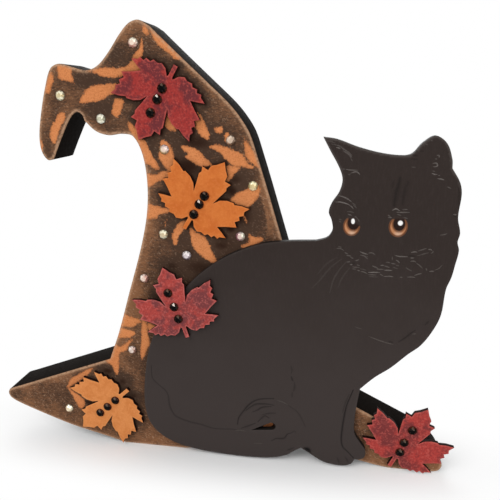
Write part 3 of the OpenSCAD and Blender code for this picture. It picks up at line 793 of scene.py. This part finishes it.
def leaf_paint(name, base, shade, light, mottled):
    p = Paint("painted_" + name, LEAF_RAMPS, specular=0.06)
    blotch = p.noise(5, roughness=0.5, distortion=0.8)
    mottle = p.noise(1.6, detail=4, roughness=0.65)
    fine = p.noise(0.75)
    depth = p.plus(p.plus(blotch, mottle, SHADE_MOTTLE), p.mark("shade"), SHADE_SPOTS)
    face = p.mix(p.ramp(depth, "shade"), base, shade)
    worn = p.times(p.ramp(p.mark("rim"), "worn"), p.ramp(mottle, "worn_mottle"))
    flecks = p.ramp(mottle, "mottle"), p.ramp(fine, "light"), p.ramp(fine, "dark"), worn
    for share, paint in zip(flecks, (shade, light, shade, light)):
        face = p.mix(p.times(share, mottled), face, paint)
    side = p.mix(mottle, LEAF_SIDE, LEAF_SIDE_PALE)
    p.bump(p.plus(mottle, fine), depth=0.05, strength=0.4)
    return p.done(p.mix(p.mark("face"), side, face), p.ramp(mottle, "roughness"))


# Colours that are multiplied by the tints of the facets, which carry painted highlights, shade and
# reflections
GEM_CREAM, GEM_GREY, GEM_WHITE = (236, 232, 226), (225, 225, 225), (255, 255, 255)
# The roughness varies between these shares of a stone's own
GEM_RAMPS = {"paint": (0.35, 0.65), "roughness": (0.3, 0.7, 0.7, 1.4)}
COAT_ROUGHNESS = 0.04


def gem_paint(name, dark, light, metallic, roughness, specular, coat):
    p = Paint(name, GEM_RAMPS, roughness, specular)
    for key, value in (("Metallic", metallic), ("Coat Weight", coat), ("Coat Roughness", COAT_ROUGHNESS)):
        p.shader.inputs[key].default_value = value
    base = p.mix(p.ramp(p.noise(1.2, detail=2, roughness=0.55), "paint"), dark, light)
    base = p.mix(1, base, p.mark("tint_and_light", "Color"), "MULTIPLY")
    return p.done(base, p.times(p.ramp(p.noise(0.5, roughness=0.55), "roughness"), roughness))


# Board


def blade_depth(points):
    """How far each point lies inside a stencilled blade, in millimetres, below 0 outside."""
    loops = [smooth(blade, BLADE_STEP, closed=True) for blade in BLADES]
    depth = -nearest(points, np.vstack(loops))[0]
    for loop in loops:
        close = np.flatnonzero(((points > loop.min(0)) & (points < loop.max(0))).all(1))
        within = close[inside(points[close], loop)]
        depth[within] = np.maximum(depth[within], nearest(points[within], loop)[0])
    return depth


def stain_and_shadow_depth(points):
    """How dark the stain and painted shadow are: in the places listed, and round the leaves."""
    dark = spots(points, STAINS_AND_SHADOWS)
    leaves = [loop for leaf in LEAVES_STAINED_AND_SHADOWED for loop in outline(leaf)]
    away = rim_distance(on_hat(points), leaves) / MM
    halo = LEAF_STAIN_AND_SHADOW_DEPTH * np.exp(-((away / LEAF_STAIN_AND_SHADOW) ** 2))
    return np.where(halo > np.abs(dark), halo, dark)


board, board_points = cut_out("hat_board", board_paint(), HAT_EASE, HAT_STEP)
mark(board, "blade", blade_depth(board_points))
mark(board, "stain_and_shadow", stain_and_shadow_depth(board_points))

# Cat panel


def taper(count):
    """Width along a line, widest in its middle."""
    return LINE_TAPER + (1 - LINE_TAPER) * np.sin(np.linspace(0, math.pi, count))


def across(curve):
    return left(unit(np.gradient(curve, axis=0)))


cuts = [(strength, CUT_HALF, smooth(points, CUT_STEP)) for strength, *points in CUTS]
cuts += [(strength, half, smooth(points, CUT_STEP)) for strength, half, *points in BROAD_CUTS]
cut_places = np.vstack([curve for _, _, curve in cuts])
cut_halves = np.concatenate([half * taper(len(curve)) for _, half, curve in cuts])
cut_strengths = np.concatenate([np.full(len(curve), strength) for strength, _, curve in cuts])


def cut_depth(points):
    """How deep each point lies in a cut line, as a share of the full depth."""
    away, which = nearest(points, cut_places)
    return cut_strengths[which] * np.exp(-((away / cut_halves[which]) ** 2))


# The mesh of the front follows places on and beside each cut line
beside = np.vstack([
    (curve + row * half * across(curve))[::CUT_EVERY] for _, half, curve in cuts for row in CUT_ROWS])
_, kept = np.unique(np.round(beside / CUT_APART), axis=0, return_index=True)
cat, cat_points = cut_out(
    "cat_panel", cat_paint(), CAT_EASE, CAT_STEP, on_hat(beside[np.sort(kept)]),
    lambda points: CUT_DEPTH * cut_depth(points))
mark(cat, "cut", CUT_SHADE * cut_depth(cat_points))


def brush_strokes(name, strokes, half):
    """Thin raised strokes of paint with a crest along the middle, tapered to both ends."""
    verts, faces, pale = [], [], []
    for strength, *points in strokes:
        curve = smooth(points, FUR_STEP)
        swell = taper(len(curve))
        aside = across(curve) * (half * swell)[:, None]
        start = len(verts)
        for place, off, up in zip(curve, aside, FUR_RISE * swell):
            for (x, z), rise in ((place - off, -FUR_SUNK), (place, up), (place + off, -FUR_SUNK)):
                verts.append((x * MM + MID_X, CAT_FRONT - rise * MM, z * MM))
        for i in range(start, len(verts) - 3, 3):
            faces += [(i, i + 3, i + 4, i + 1), (i + 1, i + 4, i + 5, i + 2)]
        pale += [strength] * (len(verts) - start)
    mark(add_piece(name, verts, faces, fur_material), "pale", pale)


fur_material = fur_paint()
brush_strokes("fur_strokes", FUR, FUR_HALF)
brush_strokes("whisker_strokes", WHISKERS, WHISKER_HALF)


def eye(name, middle, half, pupil, pupil_half, glint, glint_half, lid):
    """A low painted dome: an iris that shows below the lid, with a painted highlight low on it, a pupil and a
    glint.
    """
    turn = np.linspace(0, 2 * math.pi, EYE_AROUND, endpoint=False)
    circle = np.stack([np.cos(turn), np.sin(turn)], 1)
    flat = np.vstack([np.zeros((1, 2))] + [circle * k / EYE_RINGS for k in range(1, EYE_RINGS + 1)])
    away = np.linalg.norm(flat, axis=1)
    at = flat * half + middle
    rise = EYE_RISE * np.sqrt(np.clip(1 - away**2, 0, 1)) - EYE_SUNK
    places = on_hat(at)
    verts = np.stack([places[:, 0], CAT_FRONT - rise * MM, places[:, 1]], 1)
    rings = np.arange(1, len(at)).reshape(EYE_RINGS, EYE_AROUND).tolist()
    faces = [(0, i, after) for i, after in zip(rings[0], rings[0][1:] + rings[0][:1])]
    for a, b in zip(rings, rings[1:]):
        faces += strip(a, b)
    piece = add_piece(name, verts, faces, eye_material)

    def reach(place, size=1):
        return np.linalg.norm((at - place) / size, axis=1)

    along = unit(np.subtract(lid[1], lid[0]))
    above = (at - lid[0]) @ np.array((-along[1], along[0]))
    from_pupil = reach(pupil, pupil_half)
    dark = step(*PUPIL_EDGE, from_pupil) * step(*PUPIL_LID, above)
    iris = step(*IRIS_PUPIL, from_pupil) * step(*IRIS_LID, above) * step(*IRIS_EDGE, away)
    rim = RIM_DEPTH * np.maximum(step(*RIM_EDGE, away), step(*RIM_PUPIL, from_pupil))
    # A painted highlight low on the iris
    light = step(*HIGHLIGHT_REACH, reach(np.add(middle, HIGHLIGHT_AT)))
    shine = step(*GLINT_EDGE, reach(glint, glint_half))
    paint = np.array([colour(CAT_SHADED_HIGH)] * len(at))
    layers = (dark, PUPIL), (iris, IRIS), (iris * light, IRIS_HIGHLIGHT), (iris * rim, IRIS_RIM), (shine, GLINT)
    for share, rgb in layers:
        paint += share[:, None] * (np.array(colour(rgb)) - paint)
    mark(piece, "paint", paint, "FLOAT_COLOR")


eye_material = eye_paint()
for name, facts in EYES.items():
    eye(name, *facts)

# Leaves
for node, (kind, *paints) in LEAVES.items():
    leaf, leaf_points = cut_out(node, leaf_paint(node, *paints), LEAF_EASE, LEAF_STEP)
    mark(leaf, "shade", spots(leaf_points, LEAF_SHADES))

# Stones


def gem(node, material, tint_and_light):
    """A flat-back stone with a table, star facets, kites and two girdle facets under each kite."""
    low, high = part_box(node)
    x, z, height = (low.x + high.x) / 2, (low.z + high.z) / 2, high.y - low.y
    r, rim = STONE_R * MM, height * RIM_SHARE
    kite_up = rim + (height - rim) * KITE_RISE
    n, around = STONE_KITES, 2 * STONE_KITES

    def ring(count, radius, up, shift=0):
        turns = [2 * math.pi * (i + shift) / count for i in range(count)]
        return [(x + radius * math.cos(t), high.y - up, z + radius * math.sin(t)) for t in turns]

    verts = ring(around, r, 0) + ring(around, r, rim)
    verts += ring(n, r * KITE_SHARE, kite_up, 0.5) + ring(n, r * TABLE_SHARE, height)
    girdle, kite, table = around, 2 * around, 2 * around + n
    faces = [tuple(range(table, table + n)), tuple(range(around - 1, -1, -1))]
    faces += strip(list(range(girdle, kite)), list(range(around)))
    for i in range(n):
        before, after = (i - 1) % n, (i + 1) % n
        a, b, c = [girdle + (2 * i + k) % around for k in range(3)]
        faces += [(table + i, kite + i, table + after), (kite + before, a, kite + i, table + i)]
        faces += [(a, b, kite + i), (b, c, kite + i)]
    piece = add_piece("cut_" + node, verts, faces, material, [node], smooth_faces=False)
    # Each facet's colour, with painted highlights, shade and reflections
    paint = []
    for face in piece.data.polygons:
        place = Vector((face.center.x - x, face.center.z - z)) / r
        rgb = tint_and_light(place.length, math.atan2(place.y, place.x), int(node[-2:]))
        paint += [colour(rgb)] * len(face.vertices)
    mark(piece, "tint_and_light", paint, "FLOAT_COLOR", "CORNER")


def crystal_tint_and_light(away, turn, number):
    """The colour of a crystal's facet at this share of the way out and this turn about the middle: its
    coating tint under painted highlight and painted shade.
    """
    bright, dull, side = CRYSTAL_TINTS_AND_LIGHT[number - 1]
    if side is None:
        share = EVEN_TABLE if away < TABLE_FACETS else min(1, EVEN_LEAST + EVEN_GAIN * abs(math.sin(turn)))
    else:
        share = SIDED_TABLE if away < TABLE_FACETS else (1 + math.cos(turn - math.radians(side))) / 2
    dim = GIRDLE_SHADE if away > GIRDLE_FACETS else 1
    return tuple(dim * (d + (b - d) * share) for b, d in zip(bright, dull))


def black_tint_and_light(away, turn, number):
    """The same for a black stone: jet, with painted sheen, a painted glint and a painted reflection of the
    leaf on the rim.
    """
    if away < TABLE_FACETS:
        return JET
    if away > GIRDLE_FACETS:
        return JET_RIM_REFLECTION
    if math.cos(turn - math.radians(GLINT_SIDE)) > GLINT_REACH:
        return JET_GLINT if number in GLINTING else JET_DULL_GLINT
    return JET_SHEEN if math.sin(SHEEN_WAVES * turn + number) > SHEEN_ABOVE else JET


crystal_material = gem_paint(
    "cut_crystal", GEM_CREAM, GEM_WHITE, metallic=0.35, roughness=0.14, specular=0.4, coat=0.4)
stone_material = gem_paint(
    "cut_black_stone", GEM_GREY, GEM_WHITE, metallic=0, roughness=0.12, specular=0.04, coat=0)
for node in sorted(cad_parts):
    if node.startswith("crystal_"):
        gem(node, crystal_material, crystal_tint_and_light)
    elif node.startswith("black_stone_"):
        gem(node, stone_material, black_tint_and_light)

# Floor, light and camera


def ray_share(tree):
    """1 for rays from the camera, in a mirror or through glass."""
    path = tree.nodes.new("ShaderNodeLightPath")
    total = path.outputs["Is Camera Ray"]
    for name in ("Is Glossy Ray", "Is Transmission Ray"):
        made = tree.nodes.new("ShaderNodeMath")
        made.operation = "MAXIMUM"
        tree.links.new(total, made.inputs[0])
        tree.links.new(path.outputs[name], made.inputs[1])
        total = made.outputs[0]
    return total


def make_floor():
    mesh = bpy.data.meshes.new("floor")
    corners = [(x * FLOOR_HALF, y * FLOOR_HALF, 0) for x, y in ((-1, -1), (1, -1), (1, 1), (-1, 1))]
    mesh.from_pydata(corners, [], [(0, 1, 2, 3)])
    floor = add_object("floor", mesh)
    p = Paint("floor", FLOOR_RAMPS, roughness=0.9, specular=0.1)
    p.done(p.mix(p.noise(60, roughness=0.55), FLOOR_PAINT, FLOOR_PALE))
    squeezed = p.node("ShaderNodeVectorMath", {0: p.place, 1: FLOOR_SQUEEZE}, operation="MULTIPLY")
    far = p.node("ShaderNodeVectorMath", {0: squeezed.outputs["Vector"]}, operation="LENGTH")
    white = p.times(p.ramp(far.outputs["Value"], "fade"), ray_share(p.tree))
    glow = p.node("ShaderNodeEmission").outputs[0]
    blend = p.node("ShaderNodeMixShader", {0: white, 1: p.shader.outputs[0], 2: glow})
    p.put(blend.outputs[0], p.tree.nodes["Material Output"].inputs["Surface"])
    mesh.materials.append(p.material)


make_floor()
for name, (place, size, power) in LAMPS.items():
    lamp = bpy.data.lights.new(name, "AREA")
    lamp.energy, lamp.size = power, size
    light = add_object(name, lamp)
    light.location = place
    light.rotation_euler = (Vector(LAMP_AIM) - Vector(place)).to_track_quat("-Z", "Y").to_euler()

world = bpy.data.worlds.new("studio")
scene.world = world
world.use_nodes = True
tree = world.node_tree
sky = tree.nodes["Background"]
sky.inputs["Color"].default_value = (1, 1, 1, 1)
strength = tree.nodes.new("ShaderNodeMapRange")
strength.inputs["To Min"].default_value = SKY_LIGHT
tree.links.new(ray_share(tree), strength.inputs["Value"])
tree.links.new(strength.outputs["Result"], sky.inputs["Strength"])

lens = bpy.data.cameras.new("camera")
lens.lens, lens.sensor_width = LENS, SENSOR
camera = add_object("camera", lens)
right, up = Vector(CAMERA_RIGHT).normalized(), Vector(CAMERA_UP).normalized()
turned = Matrix((right, up, right.cross(up))).transposed().to_4x4()
camera.matrix_world = Matrix.Translation(CAMERA_AT) @ turned
scene.camera = camera
scene.view_settings.view_transform = "Standard"
